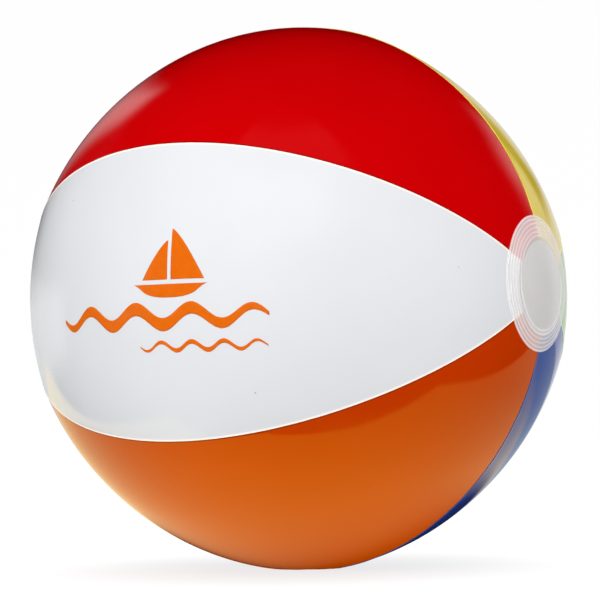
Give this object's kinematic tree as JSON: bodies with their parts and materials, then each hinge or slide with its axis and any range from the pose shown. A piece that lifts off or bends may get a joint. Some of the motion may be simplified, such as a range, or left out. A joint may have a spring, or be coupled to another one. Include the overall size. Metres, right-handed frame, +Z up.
{
  "type": "inflatable beach ball",
  "caption": "Blown-up vinyl beach ball of coloured gore panels joined at raised seams, with ribbed translucent end discs and a push-in valve.",
  "frame": {"origin": "centre of the ball", "axes": "+X along the polar axis, out through the front end disc; +Z up, away from the flat that the ball stands on; the valve faces -X"},
  "size_m": [0.3117, 0.3046, 0.3081],
  "materials": {
    "red_vinyl": "glossy film",
    "white_vinyl": "glossy film",
    "orange_vinyl": "glossy film",
    "blue_vinyl": "glossy film",
    "green_vinyl": "glossy film",
    "yellow_vinyl": "glossy film",
    "milky_vinyl": "glossy translucent film",
    "valve_vinyl": "soft satin moulding"
  },
  "bodies": {
    "ball": {"panel_red": "red_vinyl", "panel_white": "white_vinyl", "panel_orange": "orange_vinyl", "panel_blue": "blue_vinyl", "panel_green": "green_vinyl", "panel_yellow": "yellow_vinyl", "front_end_disc": "milky_vinyl", "rear_end_disc": "milky_vinyl", "valve_flange": "valve_vinyl", "valve_collar": "valve_vinyl"},
    "valve_stem": {"valve_stem": "valve_vinyl"},
    "stopper": {"stopper": "valve_vinyl", "stopper_strap": "valve_vinyl"},
    "check_flap": {"check_flap": "valve_vinyl"}
  },
  "joints": [
    {"name": "valve_pull", "type": "slide", "parent": "ball", "child": "valve_stem", "axis": [-1, 0, 0], "range_m": [0, 0.0125], "deforming": ["valve_collar"]},
    {"name": "stopper_swing", "type": "hinge", "parent": "valve_stem", "child": "stopper", "pos_m": [-0.15518, 0, 0.0082], "axis": [0, 1, 0], "range_deg": [0, 140]},
    {"name": "flap_swing", "type": "hinge", "parent": "valve_stem", "child": "check_flap", "pos_m": [-0.13478, 0, 0.006], "axis": [0, -1, 0], "range_deg": [0, 60], "stiffness_Nm_per_rad": 0.00002}
  ]
}
